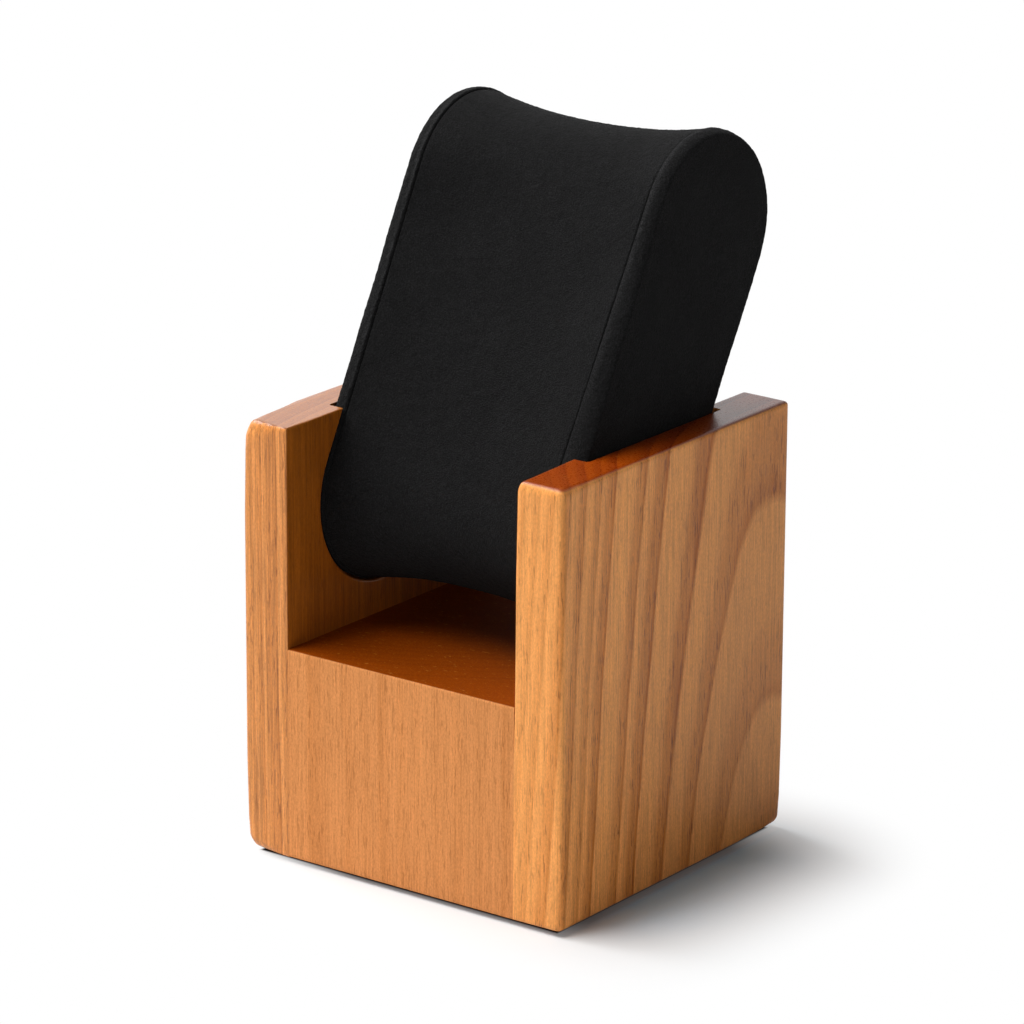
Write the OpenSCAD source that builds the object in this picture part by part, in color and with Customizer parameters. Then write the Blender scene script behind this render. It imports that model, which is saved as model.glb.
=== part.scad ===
// Watch stand: a notched hardwood cradle whose two cheeks hold a leaning, suede covered cushion.
// Sizes are in millimetres. +Z is up, +Y is the back, and the origin is the middle of the underside.

/* [Boards] */
// Width of the stand, across both cheek boards
stand_w = 57.7; // [50:0.1:80]
// Depth of the stand, front to back
stand_d = 56.4; // [50:0.1:75]
// Height of the cheek boards
board_h = 66; // [58:0.5:76]
// Thickness of each cheek board
cheek_t = 8.3; // [6:0.1:12]
// Height of the centre block that is glued between the cheeks
block_h = 32.5; // [24:0.5:38]
// Radius of the upright outer corners
corner_r = 1.2; // [0.4:0.1:2]
// Radius of the level edges and of the edges round the notch
edge_r = 0.7; // [0.3:0.1:1.5]

/* [Base pad] */
// Thickness of the felt pad under the boards
pad_t = 0.8; // [0.5:0.1:2]
// How far the pad stays back from the outer faces
pad_inset = 2; // [1.5:0.1:4]

/* [Pockets] */
// Depth of the pocket in the inner face of each cheek
pocket_depth = 2.9; // [2:0.1:4]
// Place of the pocket's round bottom, front to back
pocket_y = -5.8; // [-9:0.1:0]
// Clear height for the strap, from the centre block to the cushion
strap_gap = 5.5; // [3:0.1:9]
// Lean of the cushion and its pockets, back from upright
lean = 27.2; // [15:0.1:32]
// Gap between the cushion and the pocket's wall
pocket_fit = 0.3; // [0.2:0.05:0.8]
// Gap between each end of the cushion and the pocket's floor
end_play = 0.5; // [0.2:0.1:1]

/* [Cushion] */
// Radius of the cushion's round lower end
low_r = 14.1; // [11:0.1:16]
// Radius of the cushion's round upper end
top_r = 15.7; // [13:0.1:18]
// Distance between the centres of the two round ends
reach = 46; // [38:0.5:56]
// Thickness of each covered end plate
plate_t = 2.6; // [2.2:0.1:3.4]
// Radius of the soft rim round each end plate
rim_r = 1.2; // [1:0.1:1.6]
// Thickness of the suede cover
cover_t = 0.7; // [0.5:0.1:0.9]
// Step down from the end plates to the band beside them
tuck = 0.4; // [0.2:0.1:0.6]
// How far the band is drawn in at the middle of the cushion
waist = 2; // [0:0.1:4]

/* [Hidden] */

// Levels and half widths that the pieces share
board_top = pad_t + board_h;
seat_z = pad_t + block_h;
inner_x = stand_w / 2 - cheek_t;
pocket_x = inner_x + pocket_depth;
end_x = pocket_x - end_play;
plate_x = end_x - plate_t;
low_z = seat_z + strap_gap + low_r;

// Small lengths: slack under a cover, thickness of a loft's slice, and overshoot of a cutter
slack = 0.1;
sliver = 0.01;
over = 1;

// Shape of the drawn in band: exponent of its curve, steps along it, and steps round each of its arcs
waist_power = 2.2;
band_steps = 12;
arc_steps = 24;

// Number of steps in the rounding of an end plate's rim
rim_steps = 4;

// Facets of a full circle on the boards and on the cushion
$fn = 48;
cushion_fn = 60;

wood_colour = [0.80, 0.53, 0.30];
block_colour = [0.84, 0.57, 0.33];
felt_colour = [0.07, 0.07, 0.07];
suede_colour = [0.08, 0.08, 0.08];
board_colour = [0.55, 0.47, 0.38];
foam_colour = [0.75, 0.73, 0.68];

// Rectangle about the origin with round corners
module round_rect(w, h, r) {
    square([w - 2 * r, h], center = true);
    square([w, h - 2 * r], center = true);
    for (sx = [-1, 1], sy = [-1, 1])
        translate([sx * (w / 2 - r), sy * (h / 2 - r)]) circle(r);
}

// Turns a flat shape drawn in (y, z) to stand across the X axis, and gives it a thickness along +X
module across(thick) {
    rotate([90, 0, 90]) linear_extrude(thick) children();
}

// The glued and sanded body before the notch is cut: a block with every outer edge rounded
module sanded_block() {
    mid_z = pad_t + board_h / 2;
    intersection() {
        translate([0, 0, pad_t]) linear_extrude(board_h) round_rect(stand_w, stand_d, corner_r);
        translate([-stand_w / 2, 0, mid_z]) across(stand_w) round_rect(stand_d, board_h, edge_r);
        translate([0, stand_d / 2, mid_z])
            rotate([90, 0, 0]) linear_extrude(stand_d) round_rect(stand_w, board_h, edge_r);
    }
}

// Cutter that rounds an edge lying along +Z, on a solid that fills the quadrant x > 0, y > 0
module round_over(length, r) {
    linear_extrude(length) difference() {
        translate([-over, -over]) square(r + over);
        translate([r, r]) circle(r);
    }
}

// Angle between the cushion's straight sides and its axis
function splay() = asin((top_r - low_r) / reach);

// Side view of the cushion in (y, z): two circles and their common tangents, leaning back
module side_outline(grow = 0) {
    low = low_r + grow;
    top = top_r + grow;
    wide = cos(splay());
    drop = sin(splay());
    translate([pocket_y, low_z]) rotate(-lean) {
        circle(low);
        translate([0, reach]) circle(top);
        polygon([
            [-low * wide, -low * drop],
            [low * wide, -low * drop],
            [top * wide, reach - top * drop],
            [-top * wide, reach - top * drop]
        ]);
    }
}

// The cut that makes a pocket: the cushion's side view, larger by the fit, sunk into the inner face
module pocket_cut() {
    translate([inner_x - over, 0, 0]) across(pocket_depth + over) side_outline(pocket_fit);
}

// Right-hand cheek board, with its pocket and the rounded edges beside the notch
module cheek() {
    notch_h = board_top - seat_z;
    difference() {
        intersection() {
            sanded_block();
            translate([inner_x, -stand_d / 2, 0]) cube([cheek_t, stand_d, board_top]);
        }
        pocket_cut();
        translate([inner_x, -stand_d / 2, seat_z]) round_over(notch_h + over, edge_r);
        translate([inner_x, stand_d / 2, seat_z])
            rotate([0, 0, -90]) round_over(notch_h + over, edge_r);
        translate([inner_x, -stand_d / 2 - over, board_top])
            rotate([0, 90, 0]) rotate([90, 0, 0]) mirror([0, 0, 1])
                round_over(stand_d + 2 * over, edge_r);
    }
}

module left_cheek() {
    color(wood_colour) mirror([1, 0, 0]) cheek();
}

module right_cheek() {
    color(wood_colour) cheek();
}

// Centre block: its top is the floor of the notch, with the front and back edges rounded
module centre_block() {
    color(block_colour) difference() {
        intersection() {
            sanded_block();
            translate([-inner_x, -stand_d / 2, 0]) cube([2 * inner_x, stand_d, seat_z]);
        }
        for (side = [0, 1]) mirror([0, side, 0])
            translate([-inner_x - over, -stand_d / 2, seat_z])
                rotate([0, 90, 0]) round_over(2 * (inner_x + over), edge_r);
    }
}

// Felt pad under all three boards
module base_pad() {
    color(felt_colour) linear_extrude(pad_t)
        round_rect(stand_w - 2 * pad_inset, stand_d - 2 * pad_inset, corner_r);
}

// Thin slice of the cushion at a place along X, with its outline drawn in by the inset
module slice(x, inset) {
    translate([x, 0, 0]) across(sliver) side_outline(-inset, $fn = cushion_fn);
}

// Plate from plate_x out to far_x, with its outline drawn in by the inset and its outer rim rounded
module rimmed_plate(far_x, inset, rim) {
    hull() {
        slice(plate_x, inset);
        for (i = [0:rim_steps]) {
            turn = 90 * i / rim_steps;
            slice(far_x - sliver - rim * (1 - sin(turn)), inset + rim * (1 - cos(turn)));
        }
    }
}

// Stiff board inside an end plate
module end_board() {
    rimmed_plate(end_x - cover_t, cover_t + slack, rim_r - cover_t);
}

// Suede cover drawn over an end board: a shallow tray that is open towards the middle
module end_cover() {
    difference() {
        rimmed_plate(end_x, 0, rim_r);
        hull() {
            rimmed_plate(end_x - cover_t, cover_t, rim_r - cover_t);
            slice(plate_x - over, cover_t);
        }
    }
}

module left_end_board() {
    color(board_colour) mirror([1, 0, 0]) end_board();
}

module right_end_board() {
    color(board_colour) end_board();
}

module left_end_cover() {
    color(suede_colour) mirror([1, 0, 0]) end_cover();
}

module right_end_cover() {
    color(suede_colour) end_cover();
}

// Point at a place along X and at (u, v) in the side view, where v runs up the leaning axis
function leaned(x, u, v) = [
    x,
    pocket_y + u * cos(lean) + v * sin(lean),
    low_z - u * sin(lean) + v * cos(lean)
];

// Points from one angle to another on a circle whose centre lies up the axis
function arc(x, centre, r, from, to) = [
    for (i = [0:arc_steps])
        let (turn = from + (to - from) * i / arc_steps)
            leaned(x, r * cos(turn), centre + r * sin(turn))
];

// The side outline as a ring of points at a place along X, drawn in by the inset
function ring(x, inset) = concat(
    arc(x, reach, top_r - inset, -splay(), 180 + splay()),
    arc(x, 0, low_r - inset, 180 + splay(), 360 - splay())
);

// How far the band lies inside the end plates' outline at a place along X
function draw_in(x) = tuck + waist * (1 - pow(abs(x) / plate_x, waist_power));

// Rings between the end plates along the drawn in band, at a depth below it
function band_rings(depth) = [
    for (i = [0:band_steps])
        let (x = plate_x * (2 * i / band_steps - 1))
            ring(x, draw_in(x) + depth)
];

// Solid skinned over rings: capped at both ends, or closed from the last ring back to the first
module ring_solid(rings, capped) {
    rows = len(rings);
    cols = len(rings[0]);
    skin = [
        for (k = [0:rows - (capped ? 2 : 1)], j = [0:cols - 1])
            let (k2 = (k + 1) % rows, j2 = (j + 1) % cols)
                each [
                    [k * cols + j, k2 * cols + j, k2 * cols + j2],
                    [k * cols + j, k2 * cols + j2, k * cols + j2]
                ]
    ];
    caps = [
        [for (j = [0:cols - 1]) j],
        [for (j = [0:cols - 1]) rows * cols - 1 - j]
    ];
    polyhedron([for (one = rings) each one], capped ? concat(skin, caps) : skin);
}

// Foam core between the end plates
module cushion_core() {
    color(foam_colour) ring_solid(band_rings(cover_t + slack), true);
}

// Suede band round the foam: its outer rings from left to right, then its inner rings back again
module cushion_band() {
    inner = band_rings(cover_t);
    color(suede_colour) ring_solid(
        concat(band_rings(0), [for (i = [band_steps:-1:0]) inner[i]]), false);
}

left_cheek();
right_cheek();
centre_block();
base_pad();
left_end_board();
right_end_board();
left_end_cover();
right_end_cover();
cushion_core();
cushion_band();
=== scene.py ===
# %% [markdown]
# # Watch stand
# The real object is a small hardwood cradle. Three boards are glued side by side, the middle one lower than its
# neighbours, so a notch runs from front to back. A cushion leans in that notch: a foam core wrapped in black suede,
# with a stiff suede covered plate at each end. The plates drop into shallow round-bottomed pockets in the cheeks.
#
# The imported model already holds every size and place. This script keeps those, and gives each piece the skin that
# a camera sees: sanded edges and grain on the boards, nap and soft rolls on the suede.

import math

import bmesh
import bpy
import numpy as np
from mathutils import Matrix, Vector


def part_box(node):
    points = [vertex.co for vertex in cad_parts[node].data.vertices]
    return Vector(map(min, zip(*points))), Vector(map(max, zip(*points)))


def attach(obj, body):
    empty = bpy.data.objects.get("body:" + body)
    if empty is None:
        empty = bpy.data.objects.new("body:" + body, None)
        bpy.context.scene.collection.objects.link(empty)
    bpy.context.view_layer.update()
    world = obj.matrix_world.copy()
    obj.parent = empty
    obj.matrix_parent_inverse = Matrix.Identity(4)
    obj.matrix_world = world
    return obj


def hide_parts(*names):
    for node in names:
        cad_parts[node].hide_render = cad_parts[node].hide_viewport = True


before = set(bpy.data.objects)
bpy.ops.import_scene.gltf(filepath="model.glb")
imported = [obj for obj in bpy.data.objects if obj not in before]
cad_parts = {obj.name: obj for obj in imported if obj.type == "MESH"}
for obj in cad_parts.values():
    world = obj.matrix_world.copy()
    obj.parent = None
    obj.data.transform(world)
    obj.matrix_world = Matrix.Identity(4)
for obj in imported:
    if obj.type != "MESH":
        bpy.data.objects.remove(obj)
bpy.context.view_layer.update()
MM = 0.001


# %% [markdown]
# ## A mesh from whole arrays
# Each new surface is worked out as one numpy array of points, because a formula for a whole grid is short, exact and
# quick. Blender wants a list of points and a list of faces. A grid that closes on itself, or whose last row shrinks
# to a point, holds some points twice. They are merged, so that the skin has no open seam or pole.


# %% Put a skin into the scene
def grid_faces(rows, cols):
    """Four-cornered faces between the rows of a grid whose columns close into a ring."""
    i, j = np.meshgrid(np.arange(rows - 1), np.arange(cols), indexing="ij")
    k = (j + 1) % cols
    return np.stack([i * cols + j, i * cols + k, (i + 1) * cols + k, (i + 1) * cols + j], -1).reshape(-1, 4)


def add_skin(name, points, faces, weld=2e-6, painted_highlight=None):
    """Makes an object at the origin: merges points closer than `weld`, turns the faces outwards and smooths them.
    The optional last argument says for each point how strongly a highlight is painted on its nap, from 0 to 1."""
    mesh = bpy.data.meshes.new(name)
    mesh.from_pydata(points.reshape(-1, 3), [], faces.tolist())
    if painted_highlight is not None:
        mesh.attributes.new("painted_highlight", "FLOAT", "POINT").data.foreach_set("value", painted_highlight.ravel())
    work = bmesh.new()
    work.from_mesh(mesh)
    bmesh.ops.remove_doubles(work, verts=work.verts, dist=weld)
    bmesh.ops.dissolve_degenerate(work, edges=work.edges, dist=weld)
    bmesh.ops.recalc_face_normals(work, faces=work.faces)
    work.to_mesh(mesh)
    work.free()
    mesh.shade_smooth()
    piece = bpy.data.objects.new(name, mesh)
    bpy.context.scene.collection.objects.link(piece)
    return piece


def report(piece):
    """Prints how many faces a piece has, and its box in millimetres."""
    co = np.empty(len(piece.data.vertices) * 3)
    piece.data.vertices.foreach_get("co", co)
    co = co.reshape(-1, 3) / MM
    print(f"{piece.name}: {len(piece.data.polygons)} faces, box {co.min(0).round(2)} to {co.max(0).round(2)} mm")


# %% [markdown]
# ## Boards with sanded edges
# A board is a plain box whose edges were eased by hand, a little more at some corners than at others. A Bevel
# modifier gives every edge the same radius. Here the skin is a formula instead, so the easing can swell towards
# a corner and vanish along a glue line, where two boards were sanded flush as one.

# %% The easing formula
EDGE_STEPS = 13
EDGE_REACH = 4.5 * MM
CROWDING = 1.8
TINY = 1e-8


def spaced(low, high, flat_steps=7):
    """Places from low to high along a board, close together within EDGE_REACH of both ends: even steps from 0 to 1,
    raised to the power CROWDING."""
    near = min(EDGE_REACH, (high - low) / 2.2) * np.linspace(0, 1, EDGE_STEPS) ** CROWDING
    flat = np.linspace(low + near[-1], high - near[-1], flat_steps)
    return np.concatenate([low + near[:-1], flat, (high - near[:-1])[::-1]])


def box_grid(low, high):
    """The six sides of a box as one list of points and one of faces, with the points of shared edges used once."""
    steps = [spaced(low[a], high[a]) for a in range(3)]
    points, faces, start = [], [], 0
    for axis in range(3):
        u, v = (axis + 1) % 3, (axis + 2) % 3
        across, along = np.meshgrid(steps[u], steps[v], indexing="ij")
        for end in (low, high):
            side = np.empty(across.shape + (3,))
            side[..., axis], side[..., u], side[..., v] = end[axis], across, along
            i, j = np.meshgrid(np.arange(len(steps[u]) - 1), np.arange(len(steps[v]) - 1), indexing="ij")
            corner = start + i * len(steps[v]) + j
            quads = np.stack([corner, corner + len(steps[v]), corner + len(steps[v]) + 1, corner + 1], -1)
            faces.append(quads.reshape(-1, 4))
            points.append(side.reshape(-1, 3))
            start += side.shape[0] * side.shape[1]
    points = np.concatenate(points)
    _, first, same = np.unique(points.round(9), axis=0, return_index=True, return_inverse=True)
    return points[first], same.reshape(-1)[np.concatenate(faces)]


def eased(q, low, high, margins):
    """Pulls the box's skin in at its edges. margins(q) gives, for each point and axis, how far the easing reaches
    from the nearer side. The core point c is q kept that far inside; e = (q - c) / margin is stretched to length
    one, and the new point is c + margin * e, which lies on an ellipsoid round c."""
    m = np.maximum(margins(q), TINY / 10)
    nearer_low = q < (low + high) / 2
    c = np.where(nearer_low, np.maximum(q, low + m), np.minimum(q, high - m))
    e = (q - c) / m
    e = np.where(m > TINY, e, 0)
    size = np.linalg.norm(e, axis=1, keepdims=True)
    return c + m * e / np.maximum(size, 1e-12) + np.where(m > TINY, 0, q - c)


# %% [markdown]
# ## Where the boards lie
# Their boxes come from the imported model. The easing is a quarter to half a millimetre along the notch, nearly one
# millimetre on the upright outer edges, and none on the glued sides. Each cheek also has two corners that are worn
# a little more. A corner is written as 0 or 1 for the low or the high side along x, y and z.

# %% Board boxes and their easing
LEFT_INNER, LEFT_OUTER = 0.22 * MM, 0.9 * MM
RIGHT_INNER, RIGHT_OUTER = 0.5 * MM, 0.8 * MM
BLOCK_FRONT, BLOCK_TOP = 0.45 * MM, 0.35 * MM
TOP_EXTRA, FOOT_EASE = 0.1 * MM, 0.6 * MM
GLUE_END = 0.8 * MM
high_block = np.array(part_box("centre_block")[1])
seat_z = high_block[2]


def worn(q, corner, extra, reach):
    """Extra easing round one corner: it falls off with the square of the distance, as a bell curve does."""
    near = np.exp(-((q - corner) ** 2).sum(1) / reach ** 2)
    return near[:, None] * np.array(extra)


def cheek_margins(side, low, high, bumps, inner_ease, outer_ease):
    """Easing of a cheek on the given side, -1 for left and 1 for right. It grows from the inner to the outer face
    with the square of the way between them. The glued inner face has none below the seat."""
    def margins(q):
        """How far the easing reaches at each point q, along x, y and z."""
        m = np.empty_like(q)
        outwards = (q[:, 0] - (low[0] + high[0]) / 2) * side / (high[0] - low[0]) + 0.5
        outer = outwards > 0.5
        free = np.clip((q[:, 2] - seat_z) / GLUE_END, 0, 1)
        m[:, 0] = np.where(outer, outer_ease, inner_ease * free)
        top = q[:, 2] > (low[2] + high[2]) / 2
        m[:, 1] = inner_ease + (outer_ease - inner_ease) * outwards ** 2
        m[:, 2] = np.where(top, inner_ease + TOP_EXTRA, FOOT_EASE)
        extra = sum(worn(q, *bump) for bump in bumps)
        extra[:, 0] *= np.where(outer, 1, free)
        return m + extra
    return margins


def block_margins(q):
    """Easing of the centre block: only on its front, back, top and bottom edges."""
    m = np.zeros_like(q)
    m[:, 1] = BLOCK_FRONT
    m[:, 2] = np.where(q[:, 2] > seat_z / 2, BLOCK_TOP, FOOT_EASE)
    return m


# %% Cheeks and block before the pockets
# The worn corners: which corner, the extra easing along x, y and z, and how far it reaches, all in millimetres. On
# the left they are the top and the foot of the outer front edge. On the right they are the top of the front edge
# beside the notch, and the foot of the outer back edge.
LEFT_WORN = [((0, 0, 1), (1.0, 0.6, 3.2), 6), ((0, 0, 0), (1.1, 0.8, 1.6), 5)]
RIGHT_WORN = [((0, 0, 1), (0.7, 0.4, 1.3), 9), ((1, 1, 0), (0.8, 0.8, 1.0), 5)]


def make_board(name, node, margins_for):
    """The eased skin of one board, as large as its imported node."""
    low, high = (np.array(c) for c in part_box(node))
    q, faces = box_grid(low, high)
    board = add_skin(name, eased(q, low, high, margins_for(low, high)), faces)
    report(board)
    return board


def placed(low, high, corners):
    """The worn corners of one board as places, easings and reaches in metres."""
    return [(np.where(which, high, low), [e * MM for e in extra], far * MM) for which, extra, far in corners]


left_cheek = make_board(
    "cheek_left", "left_cheek",
    lambda lo, hi: cheek_margins(-1, lo, hi, placed(lo, hi, LEFT_WORN), LEFT_INNER, LEFT_OUTER))
right_cheek = make_board(
    "cheek_right", "right_cheek",
    lambda lo, hi: cheek_margins(1, lo, hi, placed(lo, hi, RIGHT_WORN), RIGHT_INNER, RIGHT_OUTER))
centre_block = make_board("block_centre", "centre_block", lambda lo, hi: block_margins)

# %% [markdown]
# ## The cushion's outline
# Seen from the side, the cushion is egg-shaped: a round lower end, a slightly larger round upper end, and straight
# lines that touch both. It leans back. Every skin of the cushion, and the pockets too, follow this one outline,
# so it is written once. The two radii are the cushion's own sizes; the circle centres follow from its packed box.
# The suede is drawn tight over the top and front, so the skin's upper end is a little smaller and further back than
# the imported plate's, by about one millimetre.

# %% Egg outline
LOW_R = 14.1 * MM
TOP_R = 15.7 * MM
TOP_DRAWN_IN = 0.94 * MM
TOP_SHIFT = np.array([1.16, 0.19]) * MM
cover_low, cover_high = (np.array(c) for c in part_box("right_end_cover"))
low_centre = np.array([cover_low[1] + LOW_R, cover_low[2] + LOW_R])
top_centre = np.array([cover_high[1] - TOP_R, cover_high[2] - TOP_R]) + TOP_SHIFT
TOP_R -= TOP_DRAWN_IN
axis_vec = top_centre - low_centre
reach = np.linalg.norm(axis_vec)
up_dir = axis_vec / reach
front_dir = np.array([-up_dir[1], up_dir[0]])
splay = math.asin((TOP_R - LOW_R) / reach)
lean = math.degrees(math.atan2(up_dir[0], up_dir[1]))
print(f"cushion: centres {reach / MM:.2f} mm apart, leaning {lean:.1f} degrees")


def egg_ring(count):
    """Evenly spaced places round the outline, from the very top towards the front. Each has a share s of the way up
    the axis and an angle a from the front direction: upper arc, front side, lower arc, back side, upper arc."""
    side = reach * math.cos(splay)
    turn = math.pi / 2 + splay
    knots_length = np.cumsum([0, TOP_R * turn, side, LOW_R * (math.pi - 2 * splay), side, TOP_R * turn])
    knots_share = [1, 1, 0, 0, 1, 1]
    knots_angle = [math.pi / 2, -splay, -splay, splay - math.pi, splay - math.pi, -1.5 * math.pi]
    length = np.linspace(0, knots_length[-1], count, endpoint=False)
    return np.interp(length, knots_length, knots_share), np.interp(length, knots_length, knots_angle)


def egg_skin(x, inset, share, angle, shrink=0.0):
    """Points of the cushion in space. For each x and inset (rows) and each place round the outline (columns), the
    point lies on the axis at its share, plus (radius - inset) * (1 - shrink) outwards at its angle."""
    x, inset, shrink = (np.broadcast_to(np.asarray(v, float), np.shape(x))[:, None] for v in (x, inset, shrink))
    radius = LOW_R + (TOP_R - LOW_R) * share[None, :]
    out = (radius - inset) * (1 - shrink)
    centre = low_centre[None, :] + share[:, None] * axis_vec[None, :]
    ray = np.cos(angle)[:, None] * front_dir[None, :] + np.sin(angle)[:, None] * up_dir[None, :]
    yz = centre[None] + out[..., None] * ray[None]
    xs = np.broadcast_to(x, out.shape)[..., None]
    return np.concatenate([xs, yz], -1)


# %% [markdown]
# ## Pockets
# A pocket is a round-bottomed bite out of a cheek's inner face, open at the top, cut with a router and eased at its
# mouth. The router's path is the egg outline, a little larger than the plate that drops in. The tool is a skin that
# flares at the mouth, and a Boolean modifier takes it away from the board.

# %% Cut the pockets
POCKET_FIT = 0.3 * MM
POCKET_END_PLAY = 0.5 * MM
MOUTH_EASE = 0.35 * MM
FLOOR_FILLET = 0.5 * MM
TOOL_START = 2 * MM
TOOL_RING = 160
BEND_STEPS = 6


def pocket_tool(side):
    """Router tool: from above the board, down a flared mouth, along the wall, round a fillet, to a flat floor."""
    inner_x = abs(high_block[0])
    floor_x = cover_high[0] + POCKET_END_PLAY
    bend = np.linspace(0, math.pi / 2, BEND_STEPS)
    flare_inset = -POCKET_FIT - MOUTH_EASE * (1 - np.sin(bend))
    flare_x = inner_x + MOUTH_EASE * (1 - np.cos(bend))
    fillet_x = floor_x - FLOOR_FILLET * (1 - np.sin(bend))
    fillet_inset = -POCKET_FIT + FLOOR_FILLET * (1 - np.cos(bend))
    start_x, start_inset = inner_x - TOOL_START, -POCKET_FIT - MOUTH_EASE
    x = np.concatenate([[start_x, start_x], flare_x, fillet_x, [floor_x]])
    inset = np.concatenate([[start_inset, start_inset], flare_inset, fillet_inset, [0]])
    shrink = np.concatenate([[1.0, 0.0], np.zeros(2 * BEND_STEPS), [1.0]])
    share, angle = egg_ring(TOOL_RING)
    points = egg_skin(side * x, inset, share, angle, shrink)
    return add_skin("pocket_tool", points, grid_faces(len(x), TOOL_RING))


def cut_pocket(board, side):
    """Takes the tool away from the board, keeps the result as the board's own mesh, and removes the tool."""
    tool = pocket_tool(side)
    cut = board.modifiers.new("pocket", "BOOLEAN")
    cut.object, cut.operation, cut.solver = tool, "DIFFERENCE", "EXACT"
    graph = bpy.context.evaluated_depsgraph_get()
    carved = bpy.data.meshes.new_from_object(board.evaluated_get(graph))
    board.modifiers.clear()
    board.data = carved
    bpy.data.objects.remove(tool)
    report(board)


def crisp_shading(board, angle=32):
    """Smooth shading over the easing, flat over the broad faces: normals are weighed by each face's area."""
    board.data.shade_smooth()
    board.data.set_sharp_from_angle(angle=math.radians(angle))
    weigh = board.modifiers.new("face_weight", "WEIGHTED_NORMAL")
    weigh.keep_sharp = True


cut_pocket(left_cheek, -1)
cut_pocket(right_cheek, 1)
for board in (left_cheek, right_cheek, centre_block):
    crisp_shading(board)

# %% [markdown]
# ## Soft unevenness
# Cloth drawn over a plate is never quite true. Its skin wanders by a tenth of a millimetre over a centimetre or so,
# and the nap roughens it more finely. A sum of many sine waves in random directions gives such a field, with no
# visible repeat. The seed is fixed, so every run makes the same cushion.


# %% A field of ripples
def ripples(points, size, seed, waves=28):
    """Adds sine waves whose lengths lie round `size` and whose directions and starts are random; about -1 to 1."""
    dice = np.random.default_rng(seed)
    ways = dice.normal(size=(waves, 3))
    ways /= np.linalg.norm(ways, axis=1, keepdims=True)
    pitch = 2 * math.pi / (size * dice.uniform(0.7, 1.6, waves))
    start = dice.uniform(0, 2 * math.pi, waves)
    flat = points.reshape(-1, 3)
    field = np.zeros(len(flat))
    for way, k, begin in zip(ways, pitch, start):
        field += np.sin(flat @ way * k + begin)
    return (field / math.sqrt(waves)).reshape(points.shape[:-1])


# %% [markdown]
# ## End plates
# Each end of the cushion is a stiff plate in a suede cover. The padding under the cover makes its whole edge soft: it
# rises steeply out of the crease beside the band, and from its crest it falls in one broad roll into the flat face.
# The skin is one profile carried round the egg outline: from the plate's middle on the hidden side, out to the
# crease, up the flank, over the crest, down the roll and in again across the face to the middle. A highlight is
# painted along the crest, most of all at the top, where light from above catches the nap. Each point keeps its share
# of that painted highlight in an attribute, which the suede's finish reads later.

# %% Plate profile
RING_COUNT = 640
CREASE = 0.55 * MM
FLANK = 0.5 * MM
ROLL_DEPTH = 0.85 * MM
FACE_CROWN = 0.15 * MM
NAP_RELIEF = 0.034 * MM
LEAD_LOW = 1.95 * MM
LEAD_TOP = 0.25 * MM
CROWN_RISE = 2.2
HIDDEN_ROWS, TURN_ROWS, FACE_ROWS = 3, 14, 33


def crease_lead(side, share):
    """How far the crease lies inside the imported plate's inner face. The right-hand one slants: it leads at its low
    end and comes back to the face in a straight line, as the cover was pulled on by hand."""
    return (LEAD_LOW + (LEAD_TOP - LEAD_LOW) * share) * (side > 0)


def plate_profile(inner_x, outer_x):
    """x, inset and shrink along the plate's profile. The flank and the roll are quarters of two ellipses that meet
    at the crest, and the face rises to a low crown as the square of a sine."""
    turn = np.linspace(0, math.pi / 2, TURN_ROWS)
    hidden = np.linspace(1, 0, HIDDEN_ROWS + 1)[:-1]
    face = np.linspace(0, 1, FACE_ROWS + 1)[1:]
    face_x = outer_x - FACE_CROWN
    crest_x = inner_x + FLANK
    flank_x = inner_x + FLANK * (1 - np.cos(turn[:-1]))
    flank_inset = CREASE * (1 - np.sin(turn[:-1]))
    roll_x = crest_x + (face_x - crest_x) * np.sin(turn)
    roll_inset = ROLL_DEPTH * (1 - np.cos(turn))
    crown = FACE_CROWN * np.sin(np.minimum(face * CROWN_RISE, 1) * math.pi / 2) ** 2
    back, front = np.full(HIDDEN_ROWS, CREASE), np.full(FACE_ROWS, ROLL_DEPTH)
    x = np.concatenate([np.full(HIDDEN_ROWS, inner_x), flank_x, roll_x, face_x + crown])
    inset = np.concatenate([back, flank_inset, roll_inset, front])
    shrink = np.concatenate([hidden, np.zeros(2 * TURN_ROWS - 1), face])
    return x, inset, shrink


# %% Both end plates
# Lengths of the slow waves and of the cloth's fine ones, and how many fine ones are summed
PLATE_SLOW, CLOTH_FINE, CLOTH_WAVES = 11 * MM, 0.8 * MM, 60
# Height of the slow waves outwards and along x, and the strip along the hidden back that stays still
PLATE_WAVE, FACE_WAVE, STILL_EDGE = 0.03 * MM, 0.05 * MM, 0.4 * MM
# Width of the painted highlight on the flank and on the roll, in flanks, and the size of its patches
HIGHLIGHT_FLANK, HIGHLIGHT_ROLL, HIGHLIGHT_PATCH = 0.4, 0.8, 3 * MM


def crest_painted_highlight(points, x, share, seed):
    """How strongly a highlight is painted on the nap, from 0 to 1: a bell curve across the crest, narrow on the flank
    and wide on the roll, patchy along it, and growing with the square of the share of the way up."""
    past = x - x[0] - FLANK
    width = FLANK * np.where(past < 0, HIGHLIGHT_FLANK, HIGHLIGHT_ROLL)
    patchy = 0.8 + 0.2 * ripples(points, HIGHLIGHT_PATCH, seed=seed)
    painted_highlight = np.exp(-(past / width) ** 2)[:, None] * patchy * (0.35 + 0.65 * share ** 2)
    return np.clip(painted_highlight, 0, 1)


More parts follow.
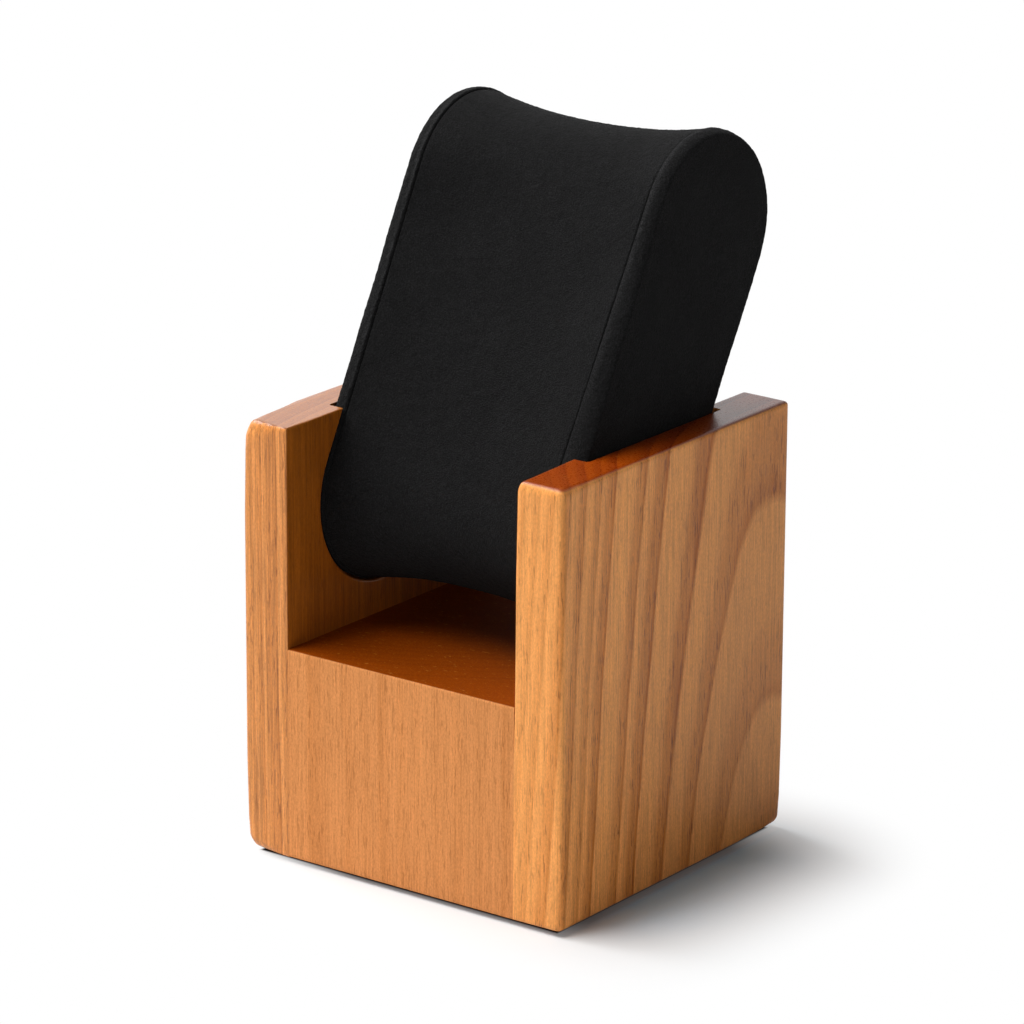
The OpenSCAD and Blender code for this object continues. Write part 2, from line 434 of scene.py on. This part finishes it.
def plate_end(name, side):
    """One covered end plate, with its skin nudged along x and outwards by soft ripples, which leave the hidden
    middle of its back still."""
    x, inset, shrink = plate_profile(cover_low[0], cover_high[0])
    share, angle = egg_ring(RING_COUNT)
    points = egg_skin(side * x, inset, share, angle, shrink)
    slow = ripples(points, PLATE_SLOW, seed=4 + side)
    fine = ripples(points, CLOTH_FINE, seed=14 + side, waves=CLOTH_WAVES)
    ray = np.cos(angle)[:, None] * front_dir + np.sin(angle)[:, None] * up_dir
    free = np.clip((x - x[0]) / STILL_EDGE, 0, 1)[:, None]
    points[..., 1:] -= (PLATE_WAVE * (slow + 1) + NAP_RELIEF * fine)[..., None] * free[..., None] * ray[None]
    points[..., 0] -= side * FACE_WAVE * (slow + 1) * free
    from_face = np.clip((x[-1] - x) / (x[-1] - x[0]), 0, 1)
    points[..., 0] -= side * from_face[:, None] * crease_lead(side, share)
    # A highlight painted along the crest, kept as a point attribute
    painted_highlight = crest_painted_highlight(points, x, share, seed=24 + side)
    piece = add_skin(name, points, grid_faces(len(x), RING_COUNT), painted_highlight=painted_highlight)
    report(piece)
    return piece


left_end = plate_end("plate_left", -1)
right_end = plate_end("plate_right", 1)

# %% [markdown]
# ## Band
# Between the plates the suede is wrapped round foam. It is drawn in towards the middle of the cushion, so the band
# has a waist. It runs nearly level up to each plate and only there turns down sharply into the crease.

# %% Band profile
BAND_TUCK = 0.2 * MM
BAND_WAIST = 2.0 * MM
WAIST_POWER = 2.2
BAND_ROLL = 0.45 * MM
BAND_SLOW, BAND_WAVE = 13 * MM, 0.05 * MM
LEVEL_ROWS, ROLL_ROWS = 103, 9


def band_profile(half):
    """x, inset and shrink from one end of the band to the other. The inset is the tuck plus the waist times
    1 - |x / half| ^ power, and both ends turn into the crease as a quarter of an ellipse."""
    turn = np.linspace(0, math.pi / 2, ROLL_ROWS + 1)[1:]
    level = np.linspace(BAND_ROLL - half, half - BAND_ROLL, LEVEL_ROWS)
    end_x = half - BAND_ROLL * (1 - np.sin(turn))
    end_dip = (CREASE - BAND_TUCK) * (1 - np.cos(turn))
    x_open = np.concatenate([-end_x[::-1], level, end_x])
    dip = np.concatenate([end_dip[::-1], np.zeros(LEVEL_ROWS), end_dip])
    waist = BAND_WAIST * (1 - np.abs(x_open / half) ** WAIST_POWER)
    hidden = np.linspace(1, 0, HIDDEN_ROWS + 1)[:-1]
    end, closed = np.full(HIDDEN_ROWS, half), np.full(HIDDEN_ROWS, CREASE)
    x = np.concatenate([-end, x_open, end])
    inset = np.concatenate([closed, BAND_TUCK + waist + dip, closed])
    shrink = np.concatenate([hidden, np.zeros(len(x_open)), hidden[::-1]])
    return x, inset, shrink


def make_band():
    """The suede band, with slow ripples from the foam and a finer one from the cloth."""
    half = cover_low[0]
    x, inset, shrink = band_profile(half)
    share, angle = egg_ring(RING_COUNT)
    points = egg_skin(x, inset, share, angle, shrink)
    slow = ripples(points, BAND_SLOW, seed=31)
    fine = ripples(points, CLOTH_FINE, seed=32, waves=CLOTH_WAVES)
    ray = np.cos(angle)[:, None] * front_dir + np.sin(angle)[:, None] * up_dir
    free = np.clip((half - np.abs(x)) / STILL_EDGE, 0, 1)[:, None, None]
    points[..., 1:] += (BAND_WAVE * (slow - 1) + NAP_RELIEF * fine)[..., None] * free * ray[None]
    from_left = (x + half) / (2 * half)
    points[..., 0] -= from_left[:, None] * crease_lead(1, share)
    piece = add_skin("band_suede", points, grid_faces(len(x), RING_COUNT))
    report(piece)
    return piece


band = make_band()

# %% [markdown]
# ## Writing a finish
# A finish is a small web of nodes. The helpers below add one node each, take plain numbers or other nodes' outputs
# alike, and keep the recipes that follow short. All patterns are measured in millimetres on the object itself.


# %% Node helpers
def new_finish(name):
    """A fresh material; returns it with its node tree and the surface coordinates in millimetres."""
    material = bpy.data.materials.new(name)
    material.use_nodes = True
    tree = material.node_tree
    tree.nodes.clear()
    metres = add(tree, "TexCoord", {}).outputs["Object"]
    place = add(tree, "VectorMath", {0: metres, 1: (1 / MM,) * 3}, operation="MULTIPLY").outputs[0]
    return material, tree, place


def add(tree, kind, sockets, **settings):
    """One node: settings are its choices, sockets maps an input's name or number to a value or another output."""
    node = tree.nodes.new("ShaderNode" + kind)
    for key, value in settings.items():
        setattr(node, key, value)
    for key, value in sockets.items():
        if isinstance(value, bpy.types.NodeSocket):
            tree.links.new(value, node.inputs[key])
        else:
            node.inputs[key].default_value = value
    return node


def calc(tree, operation, *values):
    """One step of arithmetic."""
    return add(tree, "Math", dict(enumerate(values)), operation=operation).outputs[0]


def swung(tree, value, swing, level):
    """A value from 0 to 1 as a factor: value * swing + level."""
    return calc(tree, "MULTIPLY_ADD", value, swing, level)


def darkened(tree, shade, value, swing, level):
    """The shade times a swung value."""
    return calc(tree, "MULTIPLY", shade, swung(tree, value, swing, level))


def stretch(tree, value, low, high, **settings):
    """Maps low to high onto 0 to 1 and stops there; low may be the larger of the two."""
    return add(tree, "MapRange", {"Value": value, "From Min": low, "From Max": high}, **settings).outputs[0]


def noise(tree, place, per_mm, detail=2.0, roughness=0.5, output="Fac"):
    """Cloudy noise with `per_mm` clouds to the millimetre along x, y and z."""
    stretched = add(tree, "Mapping", {"Vector": place, "Scale": per_mm}).outputs[0]
    sockets = {"Vector": stretched, "Scale": 1.0, "Detail": detail, "Roughness": roughness}
    return add(tree, "TexNoise", sockets).outputs[output]


def ramp(tree, value, stops):
    """Looks a value up on a line through (place, level) stops."""
    node = add(tree, "ValToRGB", {"Fac": value})
    elements = node.color_ramp.elements
    while len(elements) < len(stops):
        elements.new(0.5)
    for element, (position, level) in zip(elements, stops):
        element.position = position
        element.color = (level, level, level, 1)
    return node.outputs["Color"]


def mixed(tree, share, first, second, mode="MIX"):
    """Mixes two colours."""
    sockets = {0: share, 6: first, 7: second}
    return add(tree, "Mix", sockets, data_type="RGBA", blend_type=mode).outputs[2]


# %% [markdown]
# ## Wood
# The boards are a ring-porous hardwood with the grain upright, stained orange and lacquered to a satin gloss. In
# such wood each year starts with a band of large pores. It shows as a sharp line with fine dark dashes above it, and
# fades outwards over two millimetres into plain dense wood. If the pattern is a solid one, computed from the distance
# to the tree's pith, then long lines on the faces, arches where a ring is cut shallowly, and arcs on the end grain
# all come by themselves.

# %% Wood colours
WOOD_LIGHT = (0.640, 0.249, 0.061)
RIGHT_LIGHT = (0.640, 0.266, 0.070)
# The block's light colour is the wood's own with its blue raised, a painted sheen in place of the gloss it lacks
BLOCK_LIGHT_AND_SHEEN = (0.660, 0.266, 0.088)
WOOD_EARLY = (0.325, 0.082, 0.004)
WOOD_PORE = (0.150, 0.036, 0.005)
# The next tint, on the left cheek's top, is partly the end grain's own colour and partly a painted sheen, the white
# sweep's reflection, so it is paler and greyer than the right's
LEFT_END_GRAIN_AND_SHEEN = (0.46, 0.38, 0.24)
RIGHT_END_GRAIN = (0.30, 0.11, 0.01)
FLOOR_END_GRAIN = (0.30, 0.130, 0.005)
END_SPECK = (0.50, 0.20, 0.03)
# Painted shade: the faces inside the notch are multiplied by the next colour, to darken them as their shade does
INSIDE_PAINTED_SHADE = (0.49, 0.37, 0.12)


def colour(red, green, blue, tone=1.0):
    """A colour as its four linear channels, made lighter or darker by tone."""
    return (red * tone, green * tone, blue * tone, 1.0)


# %% Rings
# Between two distances from the pith the wood goes from a darker tone, nearer the pith, to full tone. PORE_BAND says
# how much early wood is left at each distance in millimetres past the start of a ring.
PITH_DARK_MM, PITH_DARK_TONE = (46.0, 62.0), 0.82
PORE_BAND = [(0.04, 1.0), (0.17, 1.0), (0.33, 0.66), (1.00, 0.54), (1.40, 0.14), (2.0, 0.0)]


def pith_distance(tree, place, pith, tilt, wander):
    """Distance from the pith, a line that passes (x, y) = pith at z = 0 and leans by tilt; slow noise makes the
    rings wander by about `wander` millimetres."""
    drift = noise(tree, place, (0.06, 0.06, 0.035), detail=2.5, output="Color")
    drift = add(tree, "VectorMath", {0: drift, 1: (0.5, 0.5, 0.5)}, operation="SUBTRACT").outputs[0]
    drift = add(tree, "VectorMath", {0: drift, 1: (4 * wander,) * 3}, operation="MULTIPLY").outputs[0]
    bent = add(tree, "VectorMath", {0: place, 1: drift}, operation="ADD").outputs[0]
    axes = add(tree, "SeparateXYZ", {0: bent}).outputs
    across = [
        calc(tree, "SUBTRACT", axes[a], calc(tree, "MULTIPLY_ADD", axes[2], tilt[a], pith[a]))
        for a in range(2)
    ]
    squares = [calc(tree, "MULTIPLY", d, d) for d in across]
    return calc(tree, "SQRT", calc(tree, "ADD", *squares))


def ring_shade(tree, distance, radii, depths):
    """How much early wood there is at a distance from the pith: a Float Curve that jumps up at each ring to that
    ring's depth and then fades as PORE_BAND says, or until the next ring starts. Deep rings are also wide."""
    share = [f for _, f in PORE_BAND]
    points = []
    for start, end, depth in zip(radii, radii[1:], depths):
        past = [d * (0.5 + 0.75 * depth) for d, _ in PORE_BAND]
        points += [(start + d, depth * f) for d, f in zip(past, share) if start + d < end - 0.1]
        points.append((end - 0.05, depth * float(np.interp(end - 0.05 - start, past, share))))
    span = radii[-1] - radii[0]
    way_out = calc(tree, "DIVIDE", calc(tree, "SUBTRACT", distance, radii[0]), span)
    curve = add(tree, "FloatCurve", {"Factor": 1.0, "Value": way_out})
    line = curve.mapping.curves[0].points
    line[0].location, line[1].location = (0, 0), (1, 0)
    for where, level in points:
        line.new((where - radii[0]) / span, level)
    for point in line:
        point.handle_type = "VECTOR"
    curve.mapping.update()
    return curve.outputs[0]


# %% Wood recipe
# Each noise in the wood, as its clouds to the millimetre along x, y and z
PATCHES, CLOUDS, STREAKS = (0.5, 0.5, 0.07), (0.12, 0.12, 0.03), (0.75, 0.75, 0.03)
DASHES, FIBRES = (4.8, 4.8, 0.40), (2.8, 2.8, 0.06)
FLECKS, SPECKS = (4.5, 4.5, 2.0), (1.1, 2.6, 2.6)
DASH_RAMP, SPECK_RAMP = [(0.61, 0), (0.66, 1)], [(0.66, 0), (0.74, 1)]
INWARD_RAMP, CUT_RAMP = [(0.5, 0), (0.8, 1)], [(0.55, 0), (0.9, 1)]
PORE_RELIEF, EARLY_RELIEF, GRAIN_RELIEF = 1.4, 0.3, 0.03 * MM


def faces_inward(tree, place, normal):
    """1 on faces that look towards the middle of the notch: the normal's x is opposite to the place's x."""
    way, where = (add(tree, "SeparateXYZ", {0: v}).outputs[0] for v in (normal, place))
    return ramp(tree, calc(tree, "MULTIPLY", calc(tree, "MULTIPLY", way, where), -0.05), INWARD_RAMP)


def wood_shade(tree, place, fibre, fibre_depth):
    """How light the plain wood is: fibres, flecks, long streaks and broad clouds multiplied together."""
    fleck = noise(tree, place, FLECKS, detail=2, roughness=0.6)
    streak = noise(tree, place, STREAKS, detail=2)
    cloud = noise(tree, place, CLOUDS, detail=2)
    shade = swung(tree, fibre, fibre_depth, 1 - 0.5 * fibre_depth)
    shade = darkened(tree, shade, fleck, 0.60, 0.70)
    shade = darkened(tree, shade, streak, 0.18 * fibre_depth, 1 - 0.09 * fibre_depth)
    return darkened(tree, shade, cloud, 0.14, 0.93)


def end_grain(tree, place, skin, dashes, tint):
    """The colour where the wood is cut across: tinted, with open pores as dots and a few light specks."""
    cut_grain = mixed(tree, 1.0, skin, colour(*tint), "MULTIPLY")
    cut_grain = mixed(tree, calc(tree, "MULTIPLY", dashes, 0.30), cut_grain, colour(*WOOD_EARLY))
    specks = ramp(tree, noise(tree, place, SPECKS, detail=2), SPECK_RAMP)
    return mixed(tree, calc(tree, "MULTIPLY", specks, 0.35), cut_grain, colour(*END_SPECK))


def wood_finish(name, light, pith, tilt, rings, wander, fibre_depth, tone, end_tint, end_rough, gloss):
    """Stained ring-porous hardwood under satin lacquer. The rings are given as their radii and their depths. The
    colour is the light wood, mixed with early wood by ring, times the shade, with pores on the side grain."""
    material, tree, place = new_finish(name)
    distance = pith_distance(tree, place, pith, tilt, wander)
    early = darkened(tree, ring_shade(tree, distance, *rings), noise(tree, place, PATCHES, detail=2), 0.9, 0.50)
    near_pith = swung(tree, stretch(tree, distance, *PITH_DARK_MM), 1.0 - PITH_DARK_TONE, PITH_DARK_TONE)
    dashes = ramp(tree, noise(tree, place, DASHES, detail=1), DASH_RAMP)
    pores = darkened(tree, dashes, early, 0.75, 0.24)
    fibre = noise(tree, place, FIBRES, detail=3, roughness=0.7)
    shade = calc(tree, "MULTIPLY", wood_shade(tree, place, fibre, fibre_depth), near_pith)
    skin = mixed(tree, early, colour(*light, tone), colour(*WOOD_EARLY, tone))
    skin = mixed(tree, 1.0, skin, shade, "MULTIPLY")
    side_grain = mixed(tree, pores, skin, colour(*WOOD_PORE))
    normal = add(tree, "NewGeometry", {}).outputs["Normal"]
    upright = calc(tree, "ABSOLUTE", add(tree, "SeparateXYZ", {0: normal}).outputs[2])
    cut = ramp(tree, upright, CUT_RAMP)
    skin = mixed(tree, cut, side_grain, end_grain(tree, place, skin, dashes, end_tint))
    # Painted shade on the faces that look into the notch
    painted_inside = mixed(tree, 1.0, skin, colour(*INSIDE_PAINTED_SHADE), "MULTIPLY")
    skin = mixed(tree, faces_inward(tree, place, normal), skin, painted_inside)
    relief = calc(tree, "SUBTRACT", calc(tree, "MULTIPLY", fibre, 0.5), calc(tree, "MULTIPLY", pores, PORE_RELIEF))
    relief = calc(tree, "SUBTRACT", relief, calc(tree, "MULTIPLY", early, EARLY_RELIEF))
    bump = add(tree, "Bump", {"Height": relief, "Strength": 0.6, "Distance": GRAIN_RELIEF}).outputs[0]
    rough = swung(tree, cut, end_rough, swung(tree, fibre, 0.18, 0.30))
    shader = add(tree, "BsdfPrincipled", {
        "Base Color": skin, "Roughness": rough, "Normal": bump, "IOR": 1.5, "Specular IOR Level": gloss,
        "Coat Weight": 0.25 * gloss, "Coat Roughness": 0.15, "Coat IOR": 1.5})
    add(tree, "OutputMaterial", {"Surface": shader.outputs[0]})
    print(name, "has", len(tree.nodes), "nodes and", len(rings[0]), "rings")
    return material


# %% [markdown]
# ## Each board's place in the tree
# The right cheek was cut with its outer face towards the pith: its rings close into tall arches near the back edge.
# The left cheek was cut nearly along the radius, so its front shows straight close lines. The block lies between.
# The right cheek's few strong rings are set one by one, so that their lines on the outer face fall where they do on
# the real board. The many faint rings of the other two boards are drawn at random from a fixed seed.

# %% Rings of the three boards, in millimetres from the pith
RIGHT_PITH, RIGHT_TILT = (71.6, 25.0), (0.0917, -0.015)
RIGHT_RADII = [36.5, 39.5, 42.0, 44.8, 47.8, 51.1, 55.5, 58.3, 62.7, 65.0, 67.3, 70.0, 72.3,
               74.0, 76.0, 78.0, 80.5]
RIGHT_DEPTHS = [0.6, 0.5, 0.7, 0.55, 0.7, 1.0, 1.0, 0.8, 0.9, 0.55, 0.7, 0.6, 0.35, 0.25, 0.25, 0.25]


def random_rings(first, last, thin, wide, faint, deep, seed):
    """Radii from first to last, with spacings drawn between thin and wide and depths between faint and deep."""
    dice = np.random.default_rng(seed)
    radii = first + np.concatenate([[0], np.cumsum(dice.uniform(thin, wide, 200))])
    depths = dice.uniform(faint, deep, len(radii))
    inside = radii < last
    return radii[inside].tolist(), depths[inside].tolist()


left_rings = random_rings(78, 98, 1.1, 2.2, 0.2, 0.7, seed=3)
block_rings = random_rings(52, 126, 1.2, 2.6, 0.06, 0.26, seed=8)
cheek_wood_left = wood_finish(
    "wood_left", WOOD_LIGHT, (60, -8), (-0.009, 0.0), left_rings, wander=0.25, fibre_depth=1.6, tone=1.01,
    end_tint=LEFT_END_GRAIN_AND_SHEEN, end_rough=-0.08, gloss=0.27)
cheek_wood_right = wood_finish(
    "wood_right", RIGHT_LIGHT, RIGHT_PITH, RIGHT_TILT, (RIGHT_RADII, RIGHT_DEPTHS), wander=0.2, fibre_depth=0.9,
    tone=1.27, end_tint=RIGHT_END_GRAIN, end_rough=-0.10, gloss=0.17)
block_wood = wood_finish(
    "wood_block", BLOCK_LIGHT_AND_SHEEN, (-52, 72), (0.02, 0.01), block_rings, wander=0.4, fibre_depth=0.7, tone=0.95,
    end_tint=FLOOR_END_GRAIN, end_rough=0.35, gloss=0.02)

# %% [markdown]
# ## Suede
# Suede is leather or cloth whose surface is brushed into a short nap. It has no gloss. Seen at a slant the fibre tips
# catch the light, which the sheen of the shader stands for; a fine bump and a faint mottling give the grain. Where
# the attribute asks for it, as on the crest of the plates, a painted highlight makes the black nearly three times
# as light.

# %% Suede recipe
SUEDE_BLACK, FIBRE_TIPS = (0.0079, 0.0079, 0.0081), (0.9, 0.9, 0.92)
NAP_GRAIN, NAP_TUFTS, NAP_BRUSHED = (4.6, 4.6, 4.6), (0.8, 0.8, 0.8), (0.13, 0.13, 0.08)
GRAIN_LEVELS = [(0.30, 0.50), (0.5, 0.90), (0.70, 1.70)]
HIGHLIGHT_GAIN = 1.7
NAP_BUMP, FELT_BUMP = 0.36 * MM, 0.15 * MM


def suede_finish():
    """Near-black nap with grain a fifth of a millimetre across, tufts of a millimetre and broad brushed patches."""
    material, tree, place = new_finish("suede_black")
    grain = noise(tree, place, NAP_GRAIN, detail=2, roughness=0.6)
    tufts = noise(tree, place, NAP_TUFTS, detail=2)
    level = ramp(tree, grain, GRAIN_LEVELS)
    level = darkened(tree, level, tufts, 0.5, 0.75)
    level = darkened(tree, level, noise(tree, place, NAP_BRUSHED, detail=2), 0.6, 0.7)
    # Painted highlight: where the point attribute asks for it, the nap is made up to 2.7 times as light
    painted_highlight = add(tree, "Attribute", {}, attribute_type="GEOMETRY", attribute_name="painted_highlight").outputs["Fac"]
    level = darkened(tree, level, painted_highlight, HIGHLIGHT_GAIN, 1.0)
    nap = mixed(tree, 1.0, colour(*SUEDE_BLACK), level, "MULTIPLY")
    height = swung(tree, tufts, 0.5, grain)
    bump = add(tree, "Bump", {"Height": height, "Strength": 1.0, "Distance": NAP_BUMP}).outputs[0]
    shader = add(tree, "BsdfPrincipled", {
        "Base Color": nap, "Roughness": 0.92, "Normal": bump, "Specular IOR Level": 0.05,
        "Sheen Weight": 0.014, "Sheen Roughness": 0.35, "Sheen Tint": colour(*FIBRE_TIPS)})
    add(tree, "OutputMaterial", {"Surface": shader.outputs[0]})
    return material


def felt_finish():
    """Pressed black felt for the pad under the boards."""
    material, tree, place = new_finish("felt_black")
    fluff = noise(tree, place, (2.5, 2.5, 2.5), detail=4, roughness=0.7)
    base = mixed(tree, fluff, colour(0.012, 0.012, 0.012), colour(0.035, 0.035, 0.036))
    bump = add(tree, "Bump", {"Height": fluff, "Strength": 0.7, "Distance": FELT_BUMP}).outputs[0]
    shader = add(tree, "BsdfPrincipled", {
        "Base Color": base, "Roughness": 0.95, "Normal": bump, "Specular IOR Level": 0.1, "Sheen Weight": 0.05})
    add(tree, "OutputMaterial", {"Surface": shader.outputs[0]})
    return material


suede, felt = suede_finish(), felt_finish()

# %% [markdown]
# ## Dress the pieces
# Every piece rides on the stand's one body and takes its finish, and the imported nodes that it stands for are
# hidden.

# %% Give the pieces their body and finish
DRESS = [
    (left_cheek, cheek_wood_left, "cheek_wood", ["left_cheek"]),
    (right_cheek, cheek_wood_right, "cheek_wood", ["right_cheek"]),
    (centre_block, block_wood, "block_wood", ["centre_block"]),
    (left_end, suede, "suede", ["left_end_board", "left_end_cover"]),
    (right_end, suede, "suede", ["right_end_board", "right_end_cover"]),
    (band, suede, "suede", ["cushion_core", "cushion_band"]),
]
for piece, finish, slot_name, nodes in DRESS:
    piece.data.materials.clear()
    piece.data.materials.append(finish)
    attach(piece, "root")
    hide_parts(*nodes)
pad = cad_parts["base_pad"]
pad.data.materials.clear()
pad.data.materials.append(felt)
print("dressed", len(DRESS), "pieces")

# %% [markdown]
# ## Floor, sky and lamps
# The photograph is a studio one: a white sweep, one large soft lamp at the front left, light from above, and a soft
# shadow to the right. The floor is plain pale paint that takes the shadow. Where the camera or a reflection looks at
# it, it fades to a glow of pure white further out, so that the background is white without any more light falling on
# the object. The real shadow is a neutral grey, while the boards throw an orange light on a plain floor. So the paint
# that the camera sees is light blue beside the wood, which cancels that orange light. Under the boards it is nearly
# black, a painted shadow for the fine dark line on which they stand.

# %% Floor
# Paints: for the light that lamps scatter, for the camera, beside the wood, below its edge, and under the boards,
# where it is a painted shadow
FLOOR_PAINT, FLOOR_SEEN = (0.80, 0.80, 0.80), (0.73, 0.73, 0.73)
BESIDE_WOOD, BELOW_EDGE, UNDER = (0.55, 0.80, 1.00), (0.95, 0.92, 0.90), (0.04, 0.035, 0.03)
# Spans along x and y in millimetres: the tinted floor's core, the shadow's core, and the stand itself
BESIDE, SHADOW_HEART = ((0.0, 28.85), (-8.0, 14.0)), ((-6.0, 28.85), (-19.0, 14.0))
FOOTPRINT = ((-28.85, 28.85), (-28.2, 28.2))
# Distances in millimetres between which the shadow, the floor's reflection and the tint fade
SHADOW_FADE, MIRROR_FADE, TINT_FADE = (0.5, 31.0), (90.0, 230.0), (20.0, 0.0)
EDGE_FADE, UNDER_FADE = (0.5, -0.4), (-1.3, -1.8)


def seen_directly(tree):
    """1 for rays from the camera and for reflections and transmissions, 0 for the light that lamps scatter."""
    ray = add(tree, "LightPath", {}).outputs
    direct = calc(tree, "MAXIMUM", ray["Is Camera Ray"], ray["Is Glossy Ray"])
    return calc(tree, "MAXIMUM", direct, ray["Is Transmission Ray"])


def distance_outside(tree, place, spans):
    """Distance in millimetres from a rectangle on the floor: how far x and y lie outside its two spans."""
    axes = add(tree, "SeparateXYZ", {0: place}).outputs
    past = []
    for axis, (low, high) in enumerate(spans):
        from_middle = calc(tree, "ABSOLUTE", calc(tree, "SUBTRACT", axes[axis], (low + high) / 2))
        past.append(calc(tree, "MAXIMUM", calc(tree, "SUBTRACT", from_middle, (high - low) / 2), 0.0))
    return calc(tree, "SQRT", calc(tree, "ADD", *[calc(tree, "MULTIPLY", p, p) for p in past]))


def outside_boards(tree, place):
    """Millimetres outside the stand's footprint, negative under the boards: the larger of the two overhangs."""
    axes = add(tree, "SeparateXYZ", {0: place}).outputs
    past = [calc(tree, "SUBTRACT", calc(tree, "ABSOLUTE", axes[a]), FOOTPRINT[a][1]) for a in range(2)]
    return calc(tree, "MAXIMUM", *past)


def make_floor():
    """A plane four metres across with paint that fades to white away from the object: (1 - fade) * paint + fade."""
    points = np.array([[-2, -2, 0], [2, -2, 0], [2, 2, 0], [-2, 2, 0]], float)
    floor = add_skin("floor", points, np.array([[0, 1, 2, 3]]))
    material, tree, place = new_finish("paper_white")
    away = distance_outside(tree, place, SHADOW_HEART)
    shadow = stretch(tree, away, *SHADOW_FADE, interpolation_type="SMOOTHSTEP")
    mirror = stretch(tree, away, *MIRROR_FADE, interpolation_type="SMOOTHSTEP")
    seen = seen_directly(tree)
    camera_ray = add(tree, "LightPath", {}).outputs["Is Camera Ray"]
    fade = add(tree, "Mix", {0: camera_ray, 2: mirror, 3: shadow}).outputs[0]
    aside = distance_outside(tree, place, BESIDE)
    beside = stretch(tree, aside, *TINT_FADE, interpolation_type="SMOOTHSTEP")
    outside = outside_boards(tree, place)
    tinted = mixed(tree, stretch(tree, outside, *EDGE_FADE), colour(*BESIDE_WOOD), colour(*BELOW_EDGE))
    shaded = mixed(tree, beside, colour(*FLOOR_SEEN), tinted)
    # Painted shadow: nearly black paint under the boards, for the dark line at their foot
    under = stretch(tree, outside, *UNDER_FADE)
    shaded = mixed(tree, under, shaded, colour(*UNDER))
    fade = calc(tree, "MULTIPLY", fade, calc(tree, "SUBTRACT", 1.0, under))
    paint = mixed(tree, camera_ray, colour(*FLOOR_PAINT), shaded)
    near = add(tree, "BsdfDiffuse", {"Color": paint}).outputs[0]
    white = add(tree, "Emission", {"Strength": 1.0}).outputs[0]
    shown = add(tree, "MixShader", {0: calc(tree, "MULTIPLY", seen, fade), 1: near, 2: white}).outputs[0]
    add(tree, "OutputMaterial", {"Surface": shown})
    floor.data.materials.append(material)
    return floor


make_floor()

# %% Sky
SKY_FILL = 0.03


def make_sky():
    """White where it is seen or mirrored, dim where it only fills the shadows."""
    world = bpy.data.worlds.new("studio")
    bpy.context.scene.world = world
    world.use_nodes = True
    tree = world.node_tree
    tree.nodes.clear()
    strength = calc(tree, "MULTIPLY_ADD", seen_directly(tree), 1.0 - SKY_FILL, SKY_FILL)
    sky = add(tree, "Background", {"Color": colour(1, 1, 1), "Strength": strength}).outputs[0]
    add(tree, "OutputWorld", {"Surface": sky})


make_sky()

# %% Lamps
# Each lamp's name, place in metres, size in metres and power in watts
AIM = Vector((0.0, 0.0, 0.05))
LAMPS = [
    ("high", (-0.40, -0.45, 1.05), 0.7, 14.2),
    ("left", (-0.90, 0.00, 0.80), 0.7, 16.0),
    ("side", (0.75, -0.50, 0.35), 0.5, 1.2),
    ("sweep", (-0.57, 0.77, 0.35), 0.7, 1.0),
]


def add_lamp(name, place, size, watts):
    """A square soft lamp that faces the stand."""
    lamp = bpy.data.lights.new(name, "AREA")
    lamp.shape, lamp.size, lamp.energy = "SQUARE", size, watts
    holder = bpy.data.objects.new(name, lamp)
    holder.location = place
    holder.rotation_euler = (AIM - Vector(place)).to_track_quat("-Z", "Y").to_euler()
    bpy.context.scene.collection.objects.link(holder)


for lamp in LAMPS:
    add_lamp(*lamp)
print("lit by", len(LAMPS), "lamps")

# %% [markdown]
# ## Camera
# The camera stands where the photographer did: in front of the stand's right corner, a little above it, with a long
# lens. Its place, turn and lens were found from the corners of the boards in the photograph.

# %% Camera
AZIMUTH, ELEVATION, ROLL = math.radians(36.582), math.radians(17.627), math.radians(0.298)
SENSOR_MM, LENS_MM = 36.0, 194.12
NEAREST = 0.01
CAMERA_PLACE = Vector((0.45910, -0.61980, 0.29625))

level = math.cos(ELEVATION)
back_way = Vector((math.sin(AZIMUTH) * level, -math.cos(AZIMUTH) * level, math.sin(ELEVATION)))
right_way = Vector((math.cos(AZIMUTH), math.sin(AZIMUTH), 0.0))
up_way = back_way.cross(right_way)
right_rolled = right_way * math.cos(ROLL) + up_way * math.sin(ROLL)
up_rolled = up_way * math.cos(ROLL) - right_way * math.sin(ROLL)
lens = bpy.data.cameras.new("camera")
lens.sensor_width, lens.lens, lens.clip_start = SENSOR_MM, LENS_MM, NEAREST
camera = bpy.data.objects.new("camera", lens)
turned = Matrix((right_rolled, up_rolled, back_way)).transposed().to_4x4()
camera.matrix_world = Matrix.Translation(CAMERA_PLACE) @ turned
bpy.context.scene.collection.objects.link(camera)
bpy.context.scene.camera = camera
bpy.context.scene.view_settings.view_transform = "Standard"
print("camera", [round(v, 3) for v in CAMERA_PLACE], "metres")

# %% Update the scene
bpy.context.view_layer.update()
